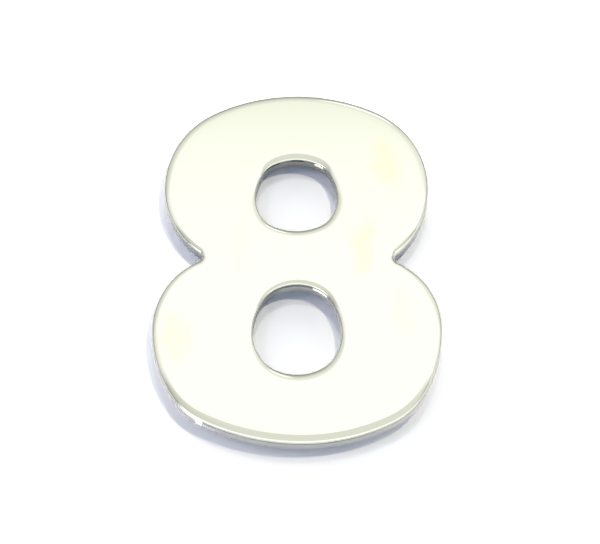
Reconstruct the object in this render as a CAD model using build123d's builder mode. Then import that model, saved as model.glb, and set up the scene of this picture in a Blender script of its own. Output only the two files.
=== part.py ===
"""House number: a figure 8 cut from plate, with a rolled front rim, lying on its flat back.

The origin is on the back face, in the middle of the figure's width and height.
+Y points to the head of the figure, +X to its right and +Z out of its face. Millimetres.
"""
import os
from math import cos, radians, sin

from build123d import *

# overall sizes
number_height = 75.0
upper_bowl_width = 50.1
lower_bowl_width = 53.4
plate_thickness = 2.8

# where the two bowls are widest, and where they run into each other
upper_shoulder_drop = 20.7
lower_shoulder_rise = 23.8
waist_height = 38.0
bowl_overlap = 8.6
notch_radius = 1.1

# the lowest points of the two bowls stand this far to the right of the middle
waist_lean = 2.2
foot_lean = 1.0

# the strokes over, between and under the two counters, which are the holes of the figure
head_stroke = 14.7
cross_stroke = 11.65
foot_stroke = 14.05

# the counters: the lower one takes its share of the height that the strokes leave
upper_counter_width = 15.45
lower_counter_width = 16.4
lower_counter_share = 0.542
counter_shoulder_share = 0.463

# each quarter of a curve is a crown arc, a corner arc and a flank arc: the turn of the two outer ones in
# degrees, and the radius of the corner between them
crown_turn = 28.0
flank_turn = 30.0
upper_bowl_corner_radius = 17.4
lower_bowl_corner_radius = 14.2
upper_counter_corner_radius = 5.0
lower_counter_corner_radius = 6.8

# the rim: a shallow roll to the front, a soft arris, and an eased edge at the back
roll_angle = 10.0
rim_roll_width = 1.5
upper_counter_roll_width = 1.35
lower_counter_roll_width = 1.15
arris_radius = 0.4
back_ease_radius = 0.15

# heights above the foot that follow from the sizes above
upper_bowl_base = waist_height - bowl_overlap / 2
lower_bowl_crest = waist_height + bowl_overlap / 2
counter_room = number_height - head_stroke - cross_stroke - foot_stroke
lower_counter_crest = foot_stroke + counter_room * lower_counter_share
upper_counter_base = lower_counter_crest + cross_stroke
upper_counter_crest = number_height - head_stroke

# the sketch starts at the foot, half the height below the origin
figure_plane = Plane(origin=(0, -number_height / 2, 0))


def quarter(crown_point, flank_point, corner_radius):
    """Three tangent arcs, from a crown point where the curve is level to a flank point where it is upright.

    The crown and flank arcs' radii are the two that bring the whole curve from the one point to the other.
    """
    to_flank = Vector(flank_point.X - crown_point.X, 0).normalized()
    to_crown = Vector(0, crown_point.Y - flank_point.Y).normalized()
    crown_sin = sin(radians(crown_turn))
    crown_cos = cos(radians(crown_turn))
    flank_sin = sin(radians(flank_turn))
    flank_cos = cos(radians(flank_turn))

    # the way along each axis that is left when the corner arc has taken its part
    level_way = abs(flank_point.X - crown_point.X) - corner_radius * (flank_cos - crown_sin)
    upright_way = abs(crown_point.Y - flank_point.Y) - corner_radius * (crown_cos - flank_sin)
    share = crown_sin * flank_sin - (1 - flank_cos) * (1 - crown_cos)
    crown_radius = (level_way * flank_sin - upright_way * (1 - flank_cos)) / share
    flank_radius = (upright_way * crown_sin - level_way * (1 - crown_cos)) / share

    crown_end = crown_point + (to_flank * crown_sin - to_crown * (1 - crown_cos)) * crown_radius
    flank_end = flank_point + (to_crown * flank_sin - to_flank * (1 - flank_cos)) * flank_radius
    TangentArc(crown_point, crown_end, tangent=to_flank)
    TangentArc(crown_end, flank_end, tangent=to_flank * crown_cos - to_crown * crown_sin)
    TangentArc(flank_point, flank_end, tangent=to_crown)


def oval(width, base, shoulder, crest, corner_radius, lean=0.0):
    """A closed oval of four quarters, level at its crest and base and upright at its two shoulders."""
    for crown_point in (Vector(0, crest), Vector(lean, base)):
        for side in (1, -1):
            quarter(crown_point, Vector(side * width / 2, shoulder), corner_radius)


def counter(width, base, crest, corner_radius):
    """The oval of one counter, widest a little under the middle of its height."""
    oval(width, base, base + (crest - base) * counter_shoulder_share, crest, corner_radius)


def roll_rim(ring_edges, front_face, width):
    """Rolls one ring of the front rim down to the wall over this width, and softens the arris it leaves."""
    chamfer(ring_edges, length=width, angle=roll_angle, reference=front_face)
    arris = numeral.edges(Select.LAST).filter_by(Plane.XY).group_by(Axis.Z)[0]
    fillet(arris, radius=arris_radius)


with BuildPart() as numeral:
    with BuildSketch(figure_plane):
        # the two bowls, run together at the waist
        with BuildLine():
            oval(
                upper_bowl_width,
                upper_bowl_base,
                number_height - upper_shoulder_drop,
                number_height,
                upper_bowl_corner_radius,
                waist_lean,
            )
        make_face()
        with BuildLine():
            oval(
                lower_bowl_width,
                0,
                lower_shoulder_rise,
                lower_bowl_crest,
                lower_bowl_corner_radius,
                foot_lean,
            )
        make_face()
        # the notches where the bowls' curves cross are rounded, out by the radius and back in again
        offset(amount=notch_radius, mode=Mode.REPLACE)
        offset(amount=-notch_radius, mode=Mode.REPLACE)
        # the two counters
        with BuildLine():
            counter(lower_counter_width, foot_stroke, lower_counter_crest, lower_counter_corner_radius)
        make_face(mode=Mode.SUBTRACT)
        with BuildLine():
            counter(upper_counter_width, upper_counter_base, upper_counter_crest, upper_counter_corner_radius)
        make_face(mode=Mode.SUBTRACT)
    extrude(amount=plate_thickness)

    # the front rim, one ring after the other: the outside, then the counters from the foot up
    for ring, roll_width in enumerate((rim_roll_width, lower_counter_roll_width, upper_counter_roll_width)):
        front_face = numeral.faces().sort_by(Axis.Z)[-1]
        rings = [front_face.outer_wire(), *front_face.inner_wires().sort_by(Axis.Y)]
        roll_rim(rings[ring].edges(), front_face, roll_width)

    # the back edges are eased, so that they do not cut
    fillet(numeral.faces().sort_by(Axis.Z)[0].edges(), radius=back_ease_radius)

numeral.part.label = "numeral"
os.makedirs("parts", exist_ok=True)
export_step(numeral.part, "parts/numeral.step")
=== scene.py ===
"""Looks of the house number: a figure 8 of polished plate, lying face up on a white studio floor.

The figure's lengths are in millimetres, and are turned to metres where a mesh, a material or the camera is
made. The studio's lengths are in metres. Angles are in degrees.
"""

import bmesh
import bpy
import numpy as np
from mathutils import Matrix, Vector


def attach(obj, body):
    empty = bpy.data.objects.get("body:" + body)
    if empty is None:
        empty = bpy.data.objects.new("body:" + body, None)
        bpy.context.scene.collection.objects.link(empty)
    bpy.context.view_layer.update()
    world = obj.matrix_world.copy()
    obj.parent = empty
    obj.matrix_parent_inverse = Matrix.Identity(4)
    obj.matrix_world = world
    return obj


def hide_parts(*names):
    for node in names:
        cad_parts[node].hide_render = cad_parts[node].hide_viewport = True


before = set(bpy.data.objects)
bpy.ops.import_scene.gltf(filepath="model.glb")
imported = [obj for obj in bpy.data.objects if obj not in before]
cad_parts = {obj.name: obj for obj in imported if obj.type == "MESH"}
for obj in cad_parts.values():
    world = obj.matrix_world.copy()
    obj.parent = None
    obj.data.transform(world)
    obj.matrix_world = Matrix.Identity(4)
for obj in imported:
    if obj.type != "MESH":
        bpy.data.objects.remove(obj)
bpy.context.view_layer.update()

MM = 0.001

# sizes of the figure, the same as the solid's
NUMBER_HEIGHT = 75.0
UPPER_BOWL_WIDTH = 50.1
LOWER_BOWL_WIDTH = 53.4
PLATE_THICKNESS = 2.8
UPPER_SHOULDER_DROP = 20.7
LOWER_SHOULDER_RISE = 23.8
WAIST_HEIGHT = 38.0
BOWL_OVERLAP = 8.6
NOTCH_RADIUS = 1.1
WAIST_LEAN = 2.2
FOOT_LEAN = 1.0
HEAD_STROKE = 14.7
CROSS_STROKE = 11.65
FOOT_STROKE = 14.05
UPPER_COUNTER_WIDTH = 15.45
LOWER_COUNTER_WIDTH = 16.4
LOWER_COUNTER_SHARE = 0.542
COUNTER_SHOULDER_SHARE = 0.463
CROWN_TURN = 28.0
FLANK_TURN = 30.0
UPPER_BOWL_CORNER = 17.4
LOWER_BOWL_CORNER = 14.2
UPPER_COUNTER_CORNER = 5.0
LOWER_COUNTER_CORNER = 6.8

# the roll's width at the flanks of each ring, how much wider it is at head and foot alike, how much it gains
# at the head and loses at the foot, and how much it gains on the right and loses on the left
RIM_ROLL = (1.35, 0.35, -0.05, 0.0)
UPPER_COUNTER_ROLL = (1.2, 0.32, 0.13, 0.15)
LOWER_COUNTER_ROLL = (0.95, 0.46, -0.33, 0.25)

# the roll bends from level to its outer tilt, given in the same way
RIM_TILT = (18.5, 0.0, 0.5, 0.0)
UPPER_COUNTER_TILT = (21.25, 0.0, -1.75, 0.0)
LOWER_COUNTER_TILT = (20.75, 0.0, -3.25, 0.0)

# the arris turns on from there to upright on its radius, and the back edge is eased
RIM_ARRIS = 0.45
UPPER_COUNTER_ARRIS = 0.3
LOWER_COUNTER_ARRIS = 0.3
BACK_EASE = 0.15

# at the waist the outside's roll is narrower by this share, and its arris is rounder by these radii on the
# two sides, over this half height
WAIST_ROLL_LOSS = 0.35
RIGHT_ARRIS_GAIN = 0.4
LEFT_ARRIS_GAIN = 0.05
WAIST_HALF_HEIGHT = 6.0

# how finely the surfaces are drawn and the curves are searched, and how near two points are the same
BOWL_STEPS = 420
NOTCH_STEPS = 14
ROLL_STEPS = 16
ARRIS_STEPS = 12
WALL_STEPS = 4
EASE_STEPS = 4
FACE_STEPS = 12
LENGTH_STEPS = 6000
TURN_STEPS = 4000
HEIGHT_STEPS = 8000
ALMOST_FULL_TURN = 359.999
MERGE_DISTANCE = 0.002

# the plating's colours: its buffed face, the film on that, the unbuffed walls in general, then painted shade
# that greys the walls in the upper counter, on the left of both counters and in the notches, and a painted
# dark reflection on the walls
FACE_COLOUR = "#F3F5E7"
FILM_COLOUR = "#F3F5D8"
WALL_COLOUR = "#F4F2EE"
UPPER_COUNTER_PAINTED_SHADE = "#D2CFC8"
COUNTER_LEFT_PAINTED_SHADE = "#B0B6BC"
NOTCH_PAINTED_SHADE = "#BEC1C7"
PAINTED_REFLECTION_COLOUR = "#1E1A1A"

# how rough the plating is
FACE_ROUGHNESS = 0.04
WALL_ROUGHNESS = 0.6
FACET_ROUGHNESS = 0.2

# the walls are unbuffed up to the first height and buffed from the second
UNBUFFED_TO = 1.6
BUFFED_FROM = 2.0

# both counters lie within this half width and half length, and all of the outside lies beyond it
COUNTERS_HALF_WIDTH = 11.0
COUNTERS_HALF_LENGTH = 26.0

# the upper counter's looks set in over this half height about the middle, the left side's between these two
# places across, and the notches' between these two distances from the waist
UPPER_BEGINS = 1.0
LEFT_BEGINS = -2.5
LEFT_IS_FULL = -5.5
NOTCH_BEGINS = 13.0
NOTCH_IS_FULL = 2.0

# most values of a noise lie between these two
NOISE_LOW = 0.3
NOISE_HIGH = 0.7

# the film patches on the face: the middle of each and how strong it is, and the half width and half length
# of all
FILM_PATCHES = (
    (17.5, 21.5, 1.0),
    (12.2, 2.0, 1.3),
    (-22.5, -15.5, 0.85),
    (19.5, -11.0, 0.4),
    (-10.9, 2.5, 0.3),
)
FILM_HALF_WIDTH = 2.8
FILM_HALF_LENGTH = 6.5

# in shares of that half size: where a patch is full, where it ends and how far its edge wavers, which it does
# over this length and with so many finer waves
FILM_IS_FULL = 0.2
FILM_ENDS = 1.3
FILM_WAVER = 0.45
FILM_WAVE = 5.0
FILM_WAVE_DETAIL = 2.0

# the painted dark reflection under the arris of the counters: the spacing of its streaks and their shift in
# radians, the two levels of their wave between which they grow, the least of them and the lower counter's
# share of them
STREAK_SPACING = 4.6
STREAK_SHIFT = -0.27
STREAK_BEGINS = -0.6
STREAK_IS_FULL = 0.3
STREAK_LEAST = 0.15
STREAK_LOWER_SHARE = 0.2

# it lies about this height and this place across
PAINTED_REFLECTION_HEIGHT = 2.1
PAINTED_REFLECTION_HALF_HEIGHT = 0.2
PAINTED_REFLECTION_PLACE = -1.5
PAINTED_REFLECTION_HALF_WIDTH = 4.7

# facets ground on the walls under the arris: the middle and half length of each, and its lower and upper edge
FACETS = (
    (4.5, 22.0, 1.1, 1.35, 2.25),
    (4.8, -5.5, 2.0, 1.35, 2.25),
    (-17.9, -32.6, 0.85, 0.4, 2.3),
    (-20.0, -30.7, 2.6, 1.7, 2.3),
    (-16.0, -33.6, 1.4, 0.8, 1.1),
)

# how far a facet leans back, as the rise that is added to its unit normal, how far its ends and edges fade
# outwards and inwards, and how ragged its ends are, over this length
FACET_LEAN = 1.1
FACET_END_OUT = 0.15
FACET_END_IN = 0.25
FACET_FOOT_OUT = 0.1
FACET_FOOT_IN = 0.2
FACET_TOP_IN = 0.1
FACET_RAGGED = 0.45
FACET_RAGGED_LENGTH = 1.0

# the grinding's hatch in the counters: the spacing of its lines across, how many come going up for one going
# across, and the two levels of their wave between which they fade
HATCH_SPACING = 0.5
HATCH_SLANT = 0.8
HATCH_DARK = -0.9
HATCH_BRIGHT = -0.3

# the paper's white, what it gains to the camera and in the metal, and the half width of the sheet
PAPER_WHITE = 0.88
PAPER_SEEN_GAIN = 0.72
PAPER_MIRRORED_GAIN = 0.3
PAPER_HALF_WIDTH = 3.0

# the tent's strength and colours as the metal mirrors them, by the climb from the back horizon over the top
# to the front horizon
TENT_STRENGTH = 1.2
TENT_CLIMB = (
    (0, "#70706D"),
    (20, "#949491"),
    (26, "#ADADAA"),
    (31, "#C2C2BF"),
    (36, "#D1D1CE"),
    (42, "#DBDBD8"),
    (53, "#E7E8E4"),
    (56.2, "#ECEEE8"),
    (57, "#F6F6F3"),
    (58.2, "#FBFBFA"),
    (60, "#FFFEFF"),
    (148, "#FFFEFF"),
    (160, "#D4D4D2"),
    (180, "#A8A8A6"),
)

# a grey gap in it, from the climb at which the card at the back ends, which is higher by this at the far left
# and right, to the climb at which the bright top begins
GAP_COLOUR = "#D5D6D2"
CARD_ENDS = (65.5, 70.5)
CARD_END_RISE = 15
TOP_BEGINS = (97, 99)

# how the tent dims to its sides, at the back and at the front, from -1 on the left to 1 on the right, and
# where along the figure the front gives way to the back
BACK_SIDES = (
    (-1, "#B4B4B4"),
    (-0.75, "#BCBCBC"),
    (-0.56, "#D0D0D0"),
    (-0.41, "#E7E7E7"),
    (-0.3, "#F0F0F0"),
    (-0.12, "#FFFFFF"),
    (0.45, "#FFFFFF"),
    (0.56, "#DADADA"),
    (0.75, "#D6D6D6"),
    (1, "#E8E8E8"),
)
FRONT_SIDES = ((-1, "#8C8C8C"), (-0.7, "#A0A0A0"), (-0.45, "#F0F0F0"), (-0.3, "#FFFFFF"))
FRONT_TO_BACK = (-0.3, 0.1)

# brighter panels in it: azimuth, elevation, the radii at which each is full and at which it ends, and its
# strength
PANELS = ((10, 36, 4, 7, 1.25), (233, 30, 14, 22, 2.2))

# the glow of the tent's lower walls over the floor, by the height of its direction, its strength at the back,
# and where along the figure it begins and is full
GLOW_HEIGHTS = ((0, "#FFFFFF"), (0.21, "#F7F7F7"), (0.30, "#CCCCCC"), (0.42, "#969696"), (0.5, "#303030"))
GLOW_STRENGTH = 4.6
GLOW_BACK = (-0.45, 0.15)

# under this height it gains a share on the left and has this strength at the front, each between two places
GLOW_LOW = (0.2, 0.1)
GLOW_LEFT = (-0.2, -0.7)
GLOW_LEFT_GAIN = 1.0
GLOW_FRONT = (-0.45, -0.8)
GLOW_FRONT_STRENGTH = 3.0

# a faint blue from above takes over between these two heights
OVERHEAD_COLOUR = "#6F7B8D"
OVERHEAD_BEGINS = (0.42, 0.5)

# the lamps: azimuth, elevation, the share of white to which each lights the paper, the angle that it spans as
# seen from the figure, and its colour
LAMPS = (
    ("right_lamp", 37, 49.5, 0.19, 4, "#FFF4DA"),
    ("left_lamp", -60, 42, 0.06, 16, "#F8E9FC"),
    ("back_lamp", 3, 41, 0.09, 4, "#FFFFF4"),
)
LAMP_DISTANCE = 2.0

# camera: fitted to the photograph's frame of 600 by 544
CAMERA_PLACE = (-0.62, -236.85, 409.2)
CAMERA_AIM = (0.6, -1.95, 2.4)
CAMERA_LENS = 151.2
SENSOR_WIDTH = 36.0
NEAREST_SEEN = 0.01


def turned(turn):
    """Unit vectors at these angles, counted from +X towards +Y."""
    angle = np.radians(turn)
    return np.stack([np.cos(angle), np.sin(angle)], axis=-1)


def oval_arcs(width, base, shoulder, crest, corner_radius, lean=0.0):
    """The twelve tangent arcs of an oval, as the turn where each begins, its radius and its first point.

    Each quarter is a flank, a corner and a crown arc. With the corner's radius given, the crown's and the
    flank's are the two that carry the quarter from its level point to its upright point. An arc from turn a
    to turn b moves by its radius times the change of the outward direction, so the first points are running
    sums of those moves.
    """
    half = width / 2
    level = np.array([half, half, half + lean, half - lean])
    upright = np.array([crest - shoulder, crest - shoulder, shoulder - base, shoulder - base])
    crown_cos, crown_sin = turned(CROWN_TURN)
    flank_cos, flank_sin = turned(FLANK_TURN)
    level = level - corner_radius * (flank_cos - crown_sin)
    upright = upright - corner_radius * (crown_cos - flank_sin)
    share = crown_sin * flank_sin - (1 - flank_cos) * (1 - crown_cos)
    crown = (level * flank_sin - upright * (1 - flank_cos)) / share
    flank = (upright * crown_sin - level * (1 - crown_cos)) / share
    corner = np.full(4, corner_radius)
    rising = np.stack([flank, corner, crown], axis=1)
    radii = np.where(np.arange(4)[:, None] % 2 == 0, rising, rising[:, ::-1]).ravel()
    steps = np.array([FLANK_TURN, 90 - FLANK_TURN - CROWN_TURN, CROWN_TURN])
    ends = np.cumsum(np.concatenate([steps, steps[::-1], steps, steps[::-1]]))
    begins = np.concatenate([[0.0], ends[:-1]])
    moves = radii[:, None] * (turned(ends) - turned(begins))
    moved = np.concatenate([np.zeros((1, 2)), np.cumsum(moves, axis=0)[:-1]])
    firsts = np.array([half, shoulder]) + moved
    return begins, radii, firsts


def oval_points(arcs, turn):
    """Points of an oval by the turn of its outward direction.

    Each is its arc's first point plus the arc's radius times the change of that direction since there.
    """
    begins, radii, firsts = arcs
    around = np.mod(turn, 360.0)
    which = np.searchsorted(begins, around, side="right") - 1
    return firsts[which] + radii[which, None] * (turned(around) - turned(begins[which]))


def even_turns(arcs, begin, end, count):
    """Turns from begin to end that leave even lengths of the oval between them, by its summed chords."""
    fine = np.linspace(begin, end, LENGTH_STEPS)
    chords = np.linalg.norm(np.diff(oval_points(arcs, fine), axis=0), axis=1)
    length = np.concatenate([[0.0], np.cumsum(chords)])
    return np.interp(np.linspace(0, length[-1], count), length, fine)


def notch_turns(upper, lower):
    """Turns of the two bowls where a ball of the notch's radius touches both, on the right side.

    The ball's middle is where the two curves cross when each is moved out by the radius, found as the height
    at which the gap between them is nothing.
    """
    upper_turn = np.linspace(270.0, ALMOST_FULL_TURN, TURN_STEPS)
    lower_turn = np.linspace(0.0, 90.0, TURN_STEPS)
    upper_path = oval_points(upper, upper_turn) + NOTCH_RADIUS * turned(upper_turn)
    lower_path = oval_points(lower, lower_turn) + NOTCH_RADIUS * turned(lower_turn)
    height = np.linspace(upper_path[0, 1], lower_path[-1, 1], HEIGHT_STEPS)
    upper_reach = np.interp(height, upper_path[:, 1], upper_path[:, 0])
    lower_reach = np.interp(height, lower_path[:, 1], lower_path[:, 0])
    crossing = np.interp(0.0, upper_reach - lower_reach, height)
    return (
        np.interp(crossing, upper_path[:, 1], upper_turn),
        np.interp(crossing, lower_path[:, 1], lower_turn),
    )


def figure_outline():
    """The outside of the figure from the left notch round, as points and outward directions.

    It follows the lower bowl, the right notch, the upper bowl and the left notch. A notch is a hollow arc, so
    there the outward direction turns back. The curve is closed, and a run's last point is left to the next
    run.
    """
    upper_base = WAIST_HEIGHT - BOWL_OVERLAP / 2
    lower_crest = WAIST_HEIGHT + BOWL_OVERLAP / 2
    upper_shoulder = NUMBER_HEIGHT - UPPER_SHOULDER_DROP
    upper_sizes = (UPPER_BOWL_WIDTH, upper_base, upper_shoulder, NUMBER_HEIGHT, UPPER_BOWL_CORNER)
    lower_sizes = (LOWER_BOWL_WIDTH, 0.0, LOWER_SHOULDER_RISE, lower_crest, LOWER_BOWL_CORNER)
    upper = oval_arcs(*upper_sizes, WAIST_LEAN)
    mirrored_upper = oval_arcs(*upper_sizes, -WAIST_LEAN)
    lower = oval_arcs(*lower_sizes, FOOT_LEAN)
    upper_right, lower_right = notch_turns(upper, lower)

    # the left notch is the right one of the mirrored figure, whose turns are counted the other way from 180
    mirrored_right, lower_mirrored = notch_turns(mirrored_upper, lower)
    upper_left = 360.0 + 180.0 - mirrored_right
    lower_left = 180.0 - lower_mirrored

    lower_turn = even_turns(lower, lower_left, 360.0 + lower_right, BOWL_STEPS + 1)[:-1]
    upper_turn = even_turns(upper, upper_right - 360.0, upper_left, BOWL_STEPS + 1)[:-1]
    right_turn = np.linspace(lower_right, upper_right - 360.0, NOTCH_STEPS + 1)[:-1]
    left_turn = np.linspace(upper_left, lower_left, NOTCH_STEPS + 1)[:-1]
    touches = np.array([lower_right, lower_left])
    right_ball, left_ball = oval_points(lower, touches) + NOTCH_RADIUS * turned(touches)
    turns = [lower_turn, right_turn, upper_turn, left_turn]
    points = [
        oval_points(lower, lower_turn),
        right_ball - NOTCH_RADIUS * turned(right_turn),
        oval_points(upper, upper_turn),
        left_ball - NOTCH_RADIUS * turned(left_turn),
    ]
    return np.concatenate(points) - (0, NUMBER_HEIGHT / 2), turned(np.concatenate(turns))


def counter_outline(width, base, crest, corner_radius, begin):
    """The edge of one counter, from this turn once round, as points and directions into its hole's wall."""
    shoulder = base + (crest - base) * COUNTER_SHOULDER_SHARE
    arcs = oval_arcs(width, base, shoulder, crest, corner_radius)
    turn = even_turns(arcs, begin, begin + 360.0, BOWL_STEPS + 1)[:-1]
    return oval_points(arcs, turn) - (0, NUMBER_HEIGHT / 2), turned(turn)


def rim_section(roll, arris, outer_tilt):
    """The rim's section as distance into the plate and height, from the face over the edge down to the back.

    It is drawn by its tilt: each stretch's tilt changes evenly along it, and distance and height are running
    sums of the cosine and sine. The roll bends from level to its outer tilt, the arris turns on to upright on
    its radius, then come the wall and the eased back edge. Each of the three sizes has one value for each
    place along the edge.
    """
    face_tilt = np.zeros_like(outer_tilt)
    wall_tilt = np.full_like(outer_tilt, 90.0)
    under_tilt = np.full_like(outer_tilt, 180.0)
    roll_tilt = np.radians(np.linspace(face_tilt, outer_tilt, ROLL_STEPS + 1, axis=1))
    arris_tilt = np.radians(np.linspace(outer_tilt, wall_tilt, ARRIS_STEPS + 1, axis=1))
    back_tilt = np.radians(np.linspace(wall_tilt, under_tilt, EASE_STEPS + 1, axis=1))
    roll_middle = (roll_tilt[:, 1:] + roll_tilt[:, :-1]) / 2
    arris_middle = (arris_tilt[:, 1:] + arris_tilt[:, :-1]) / 2
    back_middle = (back_tilt[:, 1:] + back_tilt[:, :-1]) / 2

    # the roll takes what the arris leaves of the rim's width, and the wall what both leave of the thickness
    roll_length = roll - arris * (1 - np.sin(roll_tilt[:, -1]))
    roll_step = (roll_length / np.cos(roll_middle).sum(axis=1))[:, None]
    arris_step = 2 * arris[:, None] * np.sin((arris_tilt[:, 1:2] - arris_tilt[:, :1]) / 2)
    back_step = 2 * BACK_EASE * np.sin((back_tilt[:, 1:2] - back_tilt[:, :1]) / 2)
    fall = np.concatenate([roll_step * np.sin(roll_middle), arris_step * np.sin(arris_middle)], axis=1)
    wall_height = PLATE_THICKNESS - BACK_EASE - fall.sum(axis=1, keepdims=True)
    wall_step = wall_height / WALL_STEPS * np.ones(WALL_STEPS)
    out = [roll_step * np.cos(roll_middle), arris_step * np.cos(arris_middle), 0 * wall_step]
    out = np.concatenate([*out, back_step * np.cos(back_middle)], axis=1)
    fall = np.concatenate([fall, wall_step, back_step * np.sin(back_middle)], axis=1)
    start = np.zeros((len(roll), 1))
    inset = roll[:, None] - np.concatenate([start, np.cumsum(out, axis=1)], axis=1)
    height = PLATE_THICKNESS - np.concatenate([start, np.cumsum(fall, axis=1)], axis=1)
    return inset, height


def by_place(sizes, outward):
    """A size that varies round a ring with the unit vector that points outwards from the ring's middle.

    It is the first value, plus the second times the square of the vector's part along the figure, plus the
    third times that part, plus the fourth times the part across.
    """
    flank, swell, head, right = sizes
    return flank + swell * outward[:, 1] ** 2 + head * outward[:, 1] + right * outward[:, 0]


def rim(points, into_air, roll, tilt, arris):
    """One ring of the rim: the section carried along an edge, inset against the direction into the air."""
    inset, height = rim_section(roll, arris, tilt)
    flat = points[:, None, :] - inset[..., None] * into_air[:, None, :]
    return np.concatenate([flat, height[..., None]], axis=-1)


def ruled(begin, end, steps):
    """Straight lines between two rings: begin times 1 - t plus end times t, with t from 0 to 1."""
    share = np.linspace(0, 1, steps + 1)[None, :, None]
    return begin[:, None, :] * (1 - share) + end[:, None, :] * share


def ring_faces(rows, columns, first):
    """Four-sided faces of a grid that is closed along its rows, as vertex numbers from first on."""
    row, column = np.meshgrid(np.arange(rows), np.arange(columns - 1), indexing="ij")
    here = row * columns + column
    along = (row + 1) % rows * columns + column
    return first + np.stack([here, along, along + 1, here + 1], axis=-1).reshape(-1, 4)


def plate_mesh(name, grids):
    """One closed mesh of grids that meet edge to edge: equal points are merged and faces turned outwards."""
    firsts = np.cumsum([0] + [grid.shape[0] * grid.shape[1] for grid in grids])
    points = np.concatenate([grid.reshape(-1, 3) for grid in grids]) * MM
    faces = np.concatenate([ring_faces(*grid.shape[:2], first) for grid, first in zip(grids, firsts)])
    mesh = bpy.data.meshes.new(name)
    mesh.from_pydata(points.tolist(), [], faces.tolist())
    shell = bmesh.new()
    shell.from_mesh(mesh)
    bmesh.ops.remove_doubles(shell, verts=shell.verts, dist=MERGE_DISTANCE * MM)
    bmesh.ops.recalc_face_normals(shell, faces=shell.faces)
    shell.to_mesh(mesh)
    shell.free()
    mesh.polygons.foreach_set("use_smooth", np.ones(len(mesh.polygons), dtype=bool))
    return mesh


def figure_grids():
    """The grids of the whole figure: the three rings of the rim, the face and the back.

    Face and back are ruled between the outside's ring and one inner ring, which goes round the lower counter,
    up the middle of the cross stroke, round the upper counter and down the middle again.
    """
    room = NUMBER_HEIGHT - HEAD_STROKE - CROSS_STROKE - FOOT_STROKE
    lower_crest = FOOT_STROKE + room * LOWER_COUNTER_SHARE
    upper_base = lower_crest + CROSS_STROKE
    upper_crest = NUMBER_HEIGHT - HEAD_STROKE
    outside, outward = figure_outline()
    lower_sizes = (LOWER_COUNTER_WIDTH, FOOT_STROKE, lower_crest, LOWER_COUNTER_CORNER)
    upper_sizes = (UPPER_COUNTER_WIDTH, upper_base, upper_crest, UPPER_COUNTER_CORNER)
    lower, from_lower = counter_outline(*lower_sizes, 90.0)
    upper, from_upper = counter_outline(*upper_sizes, -90.0)

    # the outside's roll and arris change towards the waist, by a bell curve of the height
    waist = np.exp(-(((outside[:, 1] + NUMBER_HEIGHT / 2 - WAIST_HEIGHT) / WAIST_HALF_HEIGHT) ** 2))
    rim_roll = by_place(RIM_ROLL, outward) * (1 - WAIST_ROLL_LOSS * waist)
    arris_gain = np.where(outside[:, 0] > 0, RIGHT_ARRIS_GAIN, LEFT_ARRIS_GAIN)
    rim_arris = RIM_ARRIS + arris_gain * waist
    outer_rim = rim(outside, outward, rim_roll, by_place(RIM_TILT, outward), rim_arris)
    lower_roll = by_place(LOWER_COUNTER_ROLL, from_lower)
    lower_tilt = by_place(LOWER_COUNTER_TILT, from_lower)
    lower_arris = np.full_like(lower_roll, LOWER_COUNTER_ARRIS)
    lower_rim = rim(lower, -from_lower, lower_roll, lower_tilt, lower_arris)
    upper_roll = by_place(UPPER_COUNTER_ROLL, from_upper)
    upper_tilt = by_place(UPPER_COUNTER_TILT, from_upper)
    upper_arris = np.full_like(upper_roll, UPPER_COUNTER_ARRIS)
    upper_rim = rim(upper, -from_upper, upper_roll, upper_tilt, upper_arris)

    # the first edge of each ring bounds the face, the last one the back
    climb = np.linspace(0, 1, NOTCH_STEPS + 1)[:-1, None]
    caps = []
    for edge in (0, -1):
        low = lower_rim[0, edge]
        high = upper_rim[0, edge]
        up_middle = low * (1 - climb) + high * climb
        down_middle = high * (1 - climb) + low * climb
        inner = np.concatenate([lower_rim[:, edge], up_middle, upper_rim[:, edge], down_middle])
        caps.append(ruled(outer_rim[:, edge], inner, FACE_STEPS))
    return [outer_rim, lower_rim, upper_rim, *caps]


def linear(hex_colour):
    """The linear colour of an sRGB hex value, with full opacity."""
    srgb = np.array([int(hex_colour[i:i + 2], 16) for i in (1, 3, 5)]) / 255
    return (*np.where(srgb <= 0.04045, srgb / 12.92, ((srgb + 0.055) / 1.055) ** 2.4).tolist(), 1.0)


def add(tree, kind, links=None, inputs=None, stops=(), **settings):
    """Adds one node with its settings, its ramp's stops if it has one, its inputs' values and its links."""
    made = tree.nodes.new(kind)
    for key, value in settings.items():
        setattr(made, key, value)
    for number, (position, colour) in enumerate(stops):
        elements = made.color_ramp.elements
        element = elements[number] if number < len(elements) else elements.new(position)
        element.position = position
        element.color = linear(colour)
    for key, value in (inputs or {}).items():
        made.inputs[key].default_value = value
    for key, source in (links or {}).items():
        tree.links.new(source, made.inputs[key])
    return made


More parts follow.
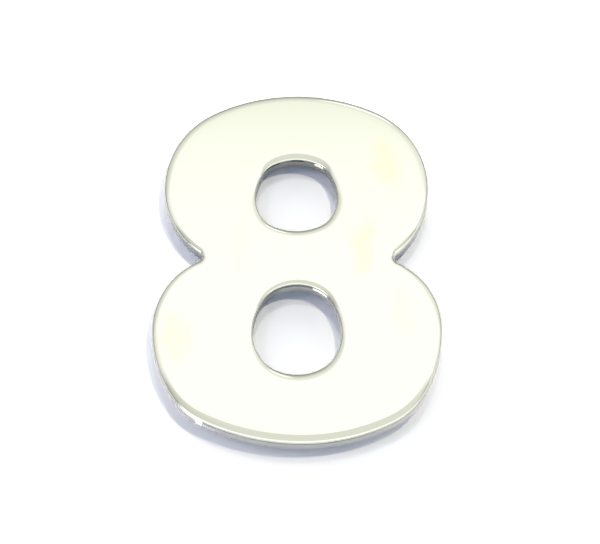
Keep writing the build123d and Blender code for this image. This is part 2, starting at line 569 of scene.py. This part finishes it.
def film_share(tree, place):
    """The thin film that the polish leaves: faint patches, longer than wide, with uneven edges."""
    detail = {"Scale": 1 / (FILM_WAVE * MM), "Detail": FILM_WAVE_DETAIL}
    wave = add(tree, "ShaderNodeTexNoise", {"Vector": place}, detail).outputs["Fac"]
    spread = {"From Min": NOISE_LOW, "From Max": NOISE_HIGH, "To Min": -FILM_WAVER, "To Max": FILM_WAVER}
    waver = add(tree, "ShaderNodeMapRange", {"Value": wave}, spread).outputs["Result"]
    shrink = {1: (1 / (FILM_HALF_WIDTH * MM), 1 / (FILM_HALF_LENGTH * MM), 0.0)}
    patches = []
    for across, along, strength in FILM_PATCHES:
        middle = {1: (across * MM, along * MM, PLATE_THICKNESS * MM)}
        away = add(tree, "ShaderNodeVectorMath", {0: place}, middle, operation="SUBTRACT").outputs[0]
        away = add(tree, "ShaderNodeVectorMath", {0: away}, shrink, operation="MULTIPLY").outputs[0]
        away = add(tree, "ShaderNodeVectorMath", {0: away}, operation="LENGTH").outputs["Value"]
        away = add(tree, "ShaderNodeMath", {0: away, 1: waver}, operation="ADD").outputs[0]
        fade = {"From Min": FILM_ENDS, "From Max": FILM_IS_FULL, "To Max": strength}
        patch = add(tree, "ShaderNodeMapRange", {"Value": away}, fade, interpolation_type="SMOOTHSTEP")
        patches.append(patch.outputs[0])
    film = patches[0]
    for patch in patches[1:]:
        film = add(tree, "ShaderNodeMath", {0: film, 1: patch}, operation="MAXIMUM").outputs[0]
    return film


def wall_colour_and_painted_shade(tree, across, along, above, in_counters, outside):
    """The walls, where the wheel does not reach.

    Painted shade makes them greyer in the upper counter, on the left of both counters and in the notches.
    """
    # painted shade on the walls of the upper counter
    in_upper = add(tree, "ShaderNodeMath", {0: in_counters, 1: above}, operation="MULTIPLY").outputs[0]
    colours = {"A": linear(WALL_COLOUR), "B": linear(UPPER_COUNTER_PAINTED_SHADE)}
    colour = add(tree, "ShaderNodeMix", {"Factor": in_upper}, colours, data_type="RGBA").outputs["Result"]

    # painted shade on the left of both counters
    left_limits = {"From Min": LEFT_BEGINS * MM, "From Max": LEFT_IS_FULL * MM}
    on_left = add(tree, "ShaderNodeMapRange", {"Value": across}, left_limits).outputs[0]
    on_left = add(tree, "ShaderNodeMath", {0: on_left, 1: in_counters}, operation="MULTIPLY").outputs[0]
    layers = {"Factor": on_left, "A": colour}
    left = {"B": linear(COUNTER_LEFT_PAINTED_SHADE)}
    colour = add(tree, "ShaderNodeMix", layers, left, data_type="RGBA").outputs["Result"]

    # painted shade on the walls in the notches
    waist = {1: (WAIST_HEIGHT - NUMBER_HEIGHT / 2) * MM}
    from_waist = add(tree, "ShaderNodeMath", {0: along}, waist, operation="SUBTRACT").outputs[0]
    from_waist = add(tree, "ShaderNodeMath", {0: from_waist}, operation="ABSOLUTE").outputs[0]
    notch_limits = {"From Min": NOTCH_BEGINS * MM, "From Max": NOTCH_IS_FULL * MM}
    in_notch = add(tree, "ShaderNodeMapRange", {"Value": from_waist}, notch_limits).outputs[0]
    in_notch = add(tree, "ShaderNodeMath", {0: in_notch, 1: outside}, operation="MULTIPLY").outputs[0]
    layers = {"Factor": in_notch, "A": colour}
    notch = {"B": linear(NOTCH_PAINTED_SHADE)}
    return add(tree, "ShaderNodeMix", layers, notch, data_type="RGBA").outputs["Result"]


def painted_reflection_share(tree, across, height, above, in_counters):
    """A painted dark reflection in streaks under the arris of the two counters, more of it in the upper one.
    """
    wave = {1: 2 * np.pi / (STREAK_SPACING * MM), 2: STREAK_SHIFT}
    streaks = add(tree, "ShaderNodeMath", {0: across}, wave, operation="MULTIPLY_ADD").outputs[0]
    streaks = add(tree, "ShaderNodeMath", {0: streaks}, operation="COSINE").outputs[0]
    growth = {"From Min": STREAK_BEGINS, "From Max": STREAK_IS_FULL, "To Min": STREAK_LEAST, "To Max": 1.0}
    painted_reflection = add(tree, "ShaderNodeMapRange", {"Value": streaks}, growth).outputs[0]
    shares = {"To Min": STREAK_LOWER_SHARE, "To Max": 1.0}
    more_above = add(tree, "ShaderNodeMapRange", {"Value": above}, shares).outputs[0]
    band = {1: PAINTED_REFLECTION_HEIGHT * MM, 2: PAINTED_REFLECTION_HALF_HEIGHT * MM}
    under_arris = add(tree, "ShaderNodeMath", {0: height}, band, operation="COMPARE").outputs[0]
    stretch = {1: PAINTED_REFLECTION_PLACE * MM, 2: PAINTED_REFLECTION_HALF_WIDTH * MM}
    left_part = add(tree, "ShaderNodeMath", {0: across}, stretch, operation="COMPARE").outputs[0]
    for share in (more_above, under_arris, left_part, in_counters):
        painted_reflection = add(tree, "ShaderNodeMath", {0: painted_reflection, 1: share}, operation="MULTIPLY").outputs[0]
    return painted_reflection


def facet_share(tree, place, height, outside):
    """Facets ground on the walls, with ragged ends and soft edges, and hatched in the counters."""
    grain = {"Scale": 1 / (FACET_RAGGED_LENGTH * MM)}
    ragged = add(tree, "ShaderNodeTexNoise", {"Vector": place}, grain).outputs["Color"]
    reach = 2 * FACET_RAGGED * MM
    spread = {1: (reach, reach, 0.0), 2: (-reach / 2, -reach / 2, 0.0)}
    ragged = add(tree, "ShaderNodeVectorMath", {0: ragged}, spread, operation="MULTIPLY_ADD").outputs[0]
    over = add(tree, "ShaderNodeVectorMath", {0: place, 1: ragged}, operation="ADD").outputs[0]
    flat = {1: (1.0, 1.0, 0.0)}
    over = add(tree, "ShaderNodeVectorMath", {0: over}, flat, operation="MULTIPLY").outputs[0]
    facets = []
    for x, y, half_length, foot, top in FACETS:
        middle = {1: (x * MM, y * MM, 0.0)}
        away = add(tree, "ShaderNodeVectorMath", {0: over}, middle, operation="DISTANCE").outputs["Value"]
        ends = {"From Min": (half_length + FACET_END_OUT) * MM, "From Max": (half_length - FACET_END_IN) * MM}
        beside = add(tree, "ShaderNodeMapRange", {"Value": away}, ends).outputs[0]
        rise = {"From Min": (foot - FACET_FOOT_OUT) * MM, "From Max": (foot + FACET_FOOT_IN) * MM}
        above_foot = add(tree, "ShaderNodeMapRange", {"Value": height}, rise).outputs[0]
        fall = {"From Min": top * MM, "From Max": (top - FACET_TOP_IN) * MM}
        below_top = add(tree, "ShaderNodeMapRange", {"Value": height}, fall).outputs[0]
        between = add(tree, "ShaderNodeMath", {0: above_foot, 1: below_top}, operation="MULTIPLY").outputs[0]
        facets.append(add(tree, "ShaderNodeMath", {0: beside, 1: between}, operation="MULTIPLY").outputs[0])
    ground = facets[0]
    for facet in facets[1:]:
        ground = add(tree, "ShaderNodeMath", {0: ground, 1: facet}, operation="MAXIMUM").outputs[0]

    turns = 2 * np.pi / (HATCH_SPACING * MM)
    wave = {1: (turns, 0.0, HATCH_SLANT * turns)}
    hatch = add(tree, "ShaderNodeVectorMath", {0: place}, wave, operation="DOT_PRODUCT").outputs["Value"]
    hatch = add(tree, "ShaderNodeMath", {0: hatch}, operation="SINE").outputs[0]
    lines = {"From Min": HATCH_DARK, "From Max": HATCH_BRIGHT}
    hatch = add(tree, "ShaderNodeMapRange", {"Value": hatch}, lines).outputs[0]
    hatch = add(tree, "ShaderNodeMath", {0: hatch, 1: outside}, operation="MAXIMUM").outputs[0]
    return add(tree, "ShaderNodeMath", {0: ground, 1: hatch}, operation="MULTIPLY").outputs[0]


def polished_plate():
    """Nickel-chrome plating, buffed on a wheel.

    To the eye it is a bright, faintly warm mirror on the face, with yellowish patches of film, and it is
    duller on the cut walls and on the back. Painted shade greys the walls in places, and a painted dark
    reflection streaks them under the counters' arris.
    """
    material = bpy.data.materials.new("buffed_bright_plating")
    material.use_nodes = True
    tree = material.node_tree
    tree.nodes.clear()
    place = add(tree, "ShaderNodeTexCoord").outputs["Object"]
    across, along, height = add(tree, "ShaderNodeSeparateXYZ", {"Vector": place}).outputs

    # the parts of the figure that differ in their looks
    width = {1: 0.0, 2: COUNTERS_HALF_WIDTH * MM}
    in_width = add(tree, "ShaderNodeMath", {0: across}, width, operation="COMPARE").outputs[0]
    length = {1: 0.0, 2: COUNTERS_HALF_LENGTH * MM}
    in_length = add(tree, "ShaderNodeMath", {0: along}, length, operation="COMPARE").outputs[0]
    in_counters = add(tree, "ShaderNodeMath", {0: in_width, 1: in_length}, operation="MULTIPLY").outputs[0]
    outside = add(tree, "ShaderNodeMath", {1: in_counters}, {0: 1.0}, operation="SUBTRACT").outputs[0]
    middle = {"From Min": -UPPER_BEGINS * MM, "From Max": UPPER_BEGINS * MM}
    above = add(tree, "ShaderNodeMapRange", {"Value": along}, middle).outputs[0]
    reach = {"From Min": UNBUFFED_TO * MM, "From Max": BUFFED_FROM * MM}
    buffed = add(tree, "ShaderNodeMapRange", {"Value": height}, reach, interpolation_type="SMOOTHSTEP")
    buffed = buffed.outputs[0]

    # the face with its film, then the walls with their painted shade, then the painted dark reflection on
    # them
    film = film_share(tree, place)
    face_colours = {"A": linear(FACE_COLOUR), "B": linear(FILM_COLOUR)}
    face = add(tree, "ShaderNodeMix", {"Factor": film}, face_colours, data_type="RGBA").outputs["Result"]
    walls = wall_colour_and_painted_shade(tree, across, along, above, in_counters, outside)
    layers = {"Factor": buffed, "A": walls, "B": face}
    colour = add(tree, "ShaderNodeMix", layers, data_type="RGBA").outputs["Result"]
    # the painted dark reflection, in streaks under the arris of the counters
    layers = {"Factor": painted_reflection_share(tree, across, height, above, in_counters), "A": colour}
    painted_reflection = {"B": linear(PAINTED_REFLECTION_COLOUR)}
    colour = add(tree, "ShaderNodeMix", layers, painted_reflection, data_type="RGBA").outputs["Result"]

    # each ground facet leans back from its foot, so that it catches the light where the wall about it is dark
    ground = facet_share(tree, place, height, outside)
    lean = add(tree, "ShaderNodeMath", {0: ground}, {1: FACET_LEAN}, operation="MULTIPLY").outputs[0]
    lean = add(tree, "ShaderNodeCombineXYZ", {"Z": lean}).outputs["Vector"]
    upright = add(tree, "ShaderNodeNewGeometry").outputs["Normal"]
    leaning = add(tree, "ShaderNodeVectorMath", {0: upright, 1: lean}, operation="ADD").outputs[0]
    leaning = add(tree, "ShaderNodeVectorMath", {0: leaning}, operation="NORMALIZE").outputs[0]
    polish = {"To Min": WALL_ROUGHNESS, "To Max": FACE_ROUGHNESS}
    roughness = add(tree, "ShaderNodeMapRange", {"Value": buffed}, polish).outputs[0]
    layers = {"Factor": ground, "A": roughness}
    roughness = add(tree, "ShaderNodeMix", layers, {"B": FACET_ROUGHNESS}).outputs["Result"]
    surface = {"Base Color": colour, "Roughness": roughness, "Normal": leaning}
    shader = add(tree, "ShaderNodeBsdfPrincipled", surface, {"Metallic": 1.0})
    add(tree, "ShaderNodeOutputMaterial", {"Surface": shader.outputs["BSDF"]})
    return material


def studio_floor():
    """A sheet of matt white paper, which takes the figure's shadow.

    Its colour is over white to the camera and in the metal, so that it shows as the background.
    """
    material = bpy.data.materials.new("matt_white_paper")
    material.use_nodes = True
    tree = material.node_tree
    tree.nodes.clear()
    light_path = add(tree, "ShaderNodeLightPath").outputs
    gain = {1: PAPER_SEEN_GAIN, 2: PAPER_WHITE}
    seen = add(tree, "ShaderNodeMath", {0: light_path["Is Camera Ray"]}, gain, operation="MULTIPLY_ADD")
    mirrored = {0: light_path["Is Glossy Ray"], 2: seen.outputs[0]}
    gain = {1: PAPER_MIRRORED_GAIN}
    brightness = add(tree, "ShaderNodeMath", mirrored, gain, operation="MULTIPLY_ADD").outputs[0]
    shader = add(tree, "ShaderNodeBsdfDiffuse", {"Color": brightness})
    add(tree, "ShaderNodeOutputMaterial", {"Surface": shader.outputs["BSDF"]})
    half = PAPER_HALF_WIDTH
    corners = [(-half, -half, 0), (half, -half, 0), (half, half, 0), (-half, half, 0)]
    mesh = bpy.data.meshes.new("floor")
    mesh.from_pydata(corners, [], [(0, 1, 2, 3)])
    floor = bpy.data.objects.new("floor", mesh)
    floor.data.materials.append(material)
    bpy.context.collection.objects.link(floor)


def toward(azimuth, elevation):
    """A unit vector by its angle from the back, clockwise from above, and its angle up from the floor."""
    around = np.radians(azimuth)
    above = np.radians(elevation)
    return (np.sin(around) * np.cos(above), np.cos(around) * np.cos(above), np.sin(above))


def tent_light(tree, way, parts):
    """What the metal mirrors: the tent by its climb, with a grey gap, dimmer sides and brighter panels."""
    climb = add(tree, "ShaderNodeMath", {0: parts["Z"], 1: parts["Y"]}, operation="ARCTAN2").outputs[0]
    climb_share = add(tree, "ShaderNodeMath", {0: climb}, {1: 1 / np.pi}, operation="MULTIPLY").outputs[0]
    stops = [(degrees / 180, colour) for degrees, colour in TENT_CLIMB]
    tent = add(tree, "ShaderNodeValToRGB", {"Fac": climb_share}, stops=stops).outputs["Color"]

    # the gap begins over the card, whose upper edge is bowed up at its ends, and ends under the bright top
    end_rise = add(tree, "ShaderNodeMath", {0: parts["X"], 1: parts["X"]}, operation="MULTIPLY").outputs[0]
    bow = {0: end_rise, 2: climb_share}
    bowed = add(tree, "ShaderNodeMath", bow, {1: -CARD_END_RISE / 180}, operation="MULTIPLY_ADD").outputs[0]
    card_edge = {"From Min": CARD_ENDS[0] / 180, "From Max": CARD_ENDS[1] / 180}
    over_card = add(tree, "ShaderNodeMapRange", {"Value": bowed}, card_edge).outputs["Result"]
    top_edge = {"From Min": TOP_BEGINS[1] / 180, "From Max": TOP_BEGINS[0] / 180}
    under_top = add(tree, "ShaderNodeMapRange", {"Value": climb_share}, top_edge).outputs["Result"]
    gap = add(tree, "ShaderNodeMath", {0: over_card, 1: under_top}, operation="MULTIPLY").outputs[0]
    grey = {"B": linear(GAP_COLOUR)}
    tent = add(tree, "ShaderNodeMix", {"Factor": gap, "A": tent}, grey, data_type="RGBA").outputs["Result"]

    # the sides are dimmer, at the back on both of them and at the front on the left
    whole_width = {"From Min": -1.0, "From Max": 1.0}
    across = add(tree, "ShaderNodeMapRange", {"Value": parts["X"]}, whole_width).outputs[0]
    stops = [((x + 1) / 2, colour) for x, colour in BACK_SIDES]
    back_side = add(tree, "ShaderNodeValToRGB", {"Fac": across}, stops=stops).outputs["Color"]
    stops = [((x + 1) / 2, colour) for x, colour in FRONT_SIDES]
    front_side = add(tree, "ShaderNodeValToRGB", {"Fac": across}, stops=stops).outputs["Color"]
    limits = {"From Min": FRONT_TO_BACK[0], "From Max": FRONT_TO_BACK[1]}
    behind = add(tree, "ShaderNodeMapRange", {"Value": parts["Y"]}, limits).outputs[0]
    layers = {"Factor": behind, "A": front_side, "B": back_side}
    side = add(tree, "ShaderNodeMix", layers, data_type="RGBA").outputs["Result"]
    layers = {"A": tent, "B": side}
    tent = add(tree, "ShaderNodeMix", layers, {"Factor": 1.0}, data_type="RGBA", blend_type="MULTIPLY")
    tent = tent.outputs["Result"]
    scale = {"Scale": TENT_STRENGTH}
    tent = add(tree, "ShaderNodeVectorMath", {0: tent}, scale, operation="SCALE").outputs[0]

    for azimuth, elevation, full, end, strength in PANELS:
        middle = {1: toward(azimuth, elevation)}
        near = add(tree, "ShaderNodeVectorMath", {0: way}, middle, operation="DOT_PRODUCT").outputs["Value"]
        limits = {"From Min": np.cos(np.radians(end)), "From Max": np.cos(np.radians(full))}
        panel = add(tree, "ShaderNodeMapRange", {"Value": near}, limits, interpolation_type="SMOOTHSTEP")
        layers = {"Factor": panel.outputs[0], "A": tent}
        white = {"B": (strength, strength, strength, 1.0)}
        tent = add(tree, "ShaderNodeMix", layers, white, data_type="RGBA").outputs["Result"]
    return tent


def floor_glow(tree, parts):
    """What lights the floor: the tent's lower walls, strongest at the back, and a faint blue from above."""
    glow = add(tree, "ShaderNodeValToRGB", {"Fac": parts["Z"]}, stops=GLOW_HEIGHTS).outputs["Color"]
    limits = {"From Min": GLOW_BACK[0], "From Max": GLOW_BACK[1], "To Max": GLOW_STRENGTH}
    back = add(tree, "ShaderNodeMapRange", {"Value": parts["Y"]}, limits).outputs[0]
    limits = {"From Min": GLOW_LOW[0], "From Max": GLOW_LOW[1]}
    low = add(tree, "ShaderNodeMapRange", {"Value": parts["Z"]}, limits).outputs[0]
    limits = {"From Min": GLOW_LEFT[0], "From Max": GLOW_LEFT[1], "To Max": GLOW_LEFT_GAIN}
    left = add(tree, "ShaderNodeMapRange", {"Value": parts["X"]}, limits).outputs[0]
    left = add(tree, "ShaderNodeMath", {0: left, 1: low}, {2: 1.0}, operation="MULTIPLY_ADD").outputs[0]
    limits = {"From Min": GLOW_FRONT[0], "From Max": GLOW_FRONT[1], "To Max": GLOW_FRONT_STRENGTH}
    front = add(tree, "ShaderNodeMapRange", {"Value": parts["Y"]}, limits).outputs[0]
    front = add(tree, "ShaderNodeMath", {0: front, 1: low}, operation="MULTIPLY").outputs[0]
    sources = {0: back, 1: left, 2: front}
    strength = add(tree, "ShaderNodeMath", sources, operation="MULTIPLY_ADD").outputs[0]
    glow = add(tree, "ShaderNodeVectorMath", {0: glow, "Scale": strength}, operation="SCALE").outputs[0]
    limits = {"From Min": OVERHEAD_BEGINS[0], "From Max": OVERHEAD_BEGINS[1]}
    above = add(tree, "ShaderNodeMapRange", {"Value": parts["Z"]}, limits).outputs[0]
    blue = {"B": linear(OVERHEAD_COLOUR)}
    return add(tree, "ShaderNodeMix", {"Factor": above, "A": glow}, blue, data_type="RGBA").outputs["Result"]


def studio_world():
    """A white tent: plain white to the camera, with one light for the metal and another for the floor."""
    world = bpy.data.worlds.new("tent")
    world.use_nodes = True
    tree = world.node_tree
    tree.nodes.clear()
    bpy.context.scene.world = world
    way = add(tree, "ShaderNodeTexCoord").outputs["Generated"]
    parts = add(tree, "ShaderNodeSeparateXYZ", {"Vector": way}).outputs
    light_path = add(tree, "ShaderNodeLightPath").outputs

    # the metal shows the tent, but sends none of its light on to the floor: it counts before the first bounce
    # off paper alone
    tent = tent_light(tree, way, parts)
    bounces = {0: light_path["Diffuse Depth"]}
    direct = add(tree, "ShaderNodeMath", bounces, {1: 1.0}, operation="LESS_THAN").outputs[0]
    tent = add(tree, "ShaderNodeVectorMath", {0: tent, "Scale": direct}, operation="SCALE").outputs[0]
    layers = {"Factor": light_path["Is Glossy Ray"], "A": floor_glow(tree, parts), "B": tent}
    light = add(tree, "ShaderNodeMix", layers, data_type="RGBA").outputs["Result"]
    layers = {"Factor": light_path["Is Camera Ray"], "A": light}
    white = {"B": linear("#FFFFFF")}
    light = add(tree, "ShaderNodeMix", layers, white, data_type="RGBA").outputs["Result"]
    background = add(tree, "ShaderNodeBackground", {"Color": light})
    add(tree, "ShaderNodeOutputWorld", {"Surface": background.outputs["Background"]})


def lamp(name, way, share, span, colour):
    """A round lamp in this direction that lights white paper to this share of white, not mirrored in metal.

    Its energy is the share times the squares of pi and of its distance, divided by its direction's height.
    """
    direction = Vector(way)
    light = bpy.data.lights.new(name, "AREA")
    light.shape = "DISK"
    light.size = np.radians(span) * LAMP_DISTANCE
    light.energy = share * np.pi ** 2 * LAMP_DISTANCE ** 2 / direction.z
    light.color = linear(colour)[:3]
    holder = bpy.data.objects.new(name, light)
    holder.location = direction * LAMP_DISTANCE
    holder.rotation_euler = direction.to_track_quat("Z", "Y").to_euler()
    holder.visible_glossy = False
    bpy.context.collection.objects.link(holder)


def photo_camera():
    """The camera at the photograph's angle, 60 degrees above the floor."""
    camera = bpy.data.objects.new("camera", bpy.data.cameras.new("camera"))
    camera.data.sensor_width = SENSOR_WIDTH
    camera.data.lens = CAMERA_LENS
    camera.data.clip_start = NEAREST_SEEN
    camera.location = Vector(CAMERA_PLACE) * MM
    aim = Vector(CAMERA_AIM) - Vector(CAMERA_PLACE)
    camera.rotation_euler = aim.to_track_quat("-Z", "Y").to_euler()
    bpy.context.collection.objects.link(camera)
    bpy.context.scene.camera = camera


photo_camera()
studio_floor()
studio_world()
for lamp_name, azimuth, elevation, share, span, colour in LAMPS:
    lamp(lamp_name, toward(azimuth, elevation), share, span, colour)

numeral = bpy.data.objects.new("polished_numeral", plate_mesh("polished_numeral", figure_grids()))
bpy.context.collection.objects.link(numeral)
numeral.data.materials.append(polished_plate())
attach(numeral, "root")
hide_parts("numeral")

bpy.context.scene.view_settings.view_transform = "Standard"
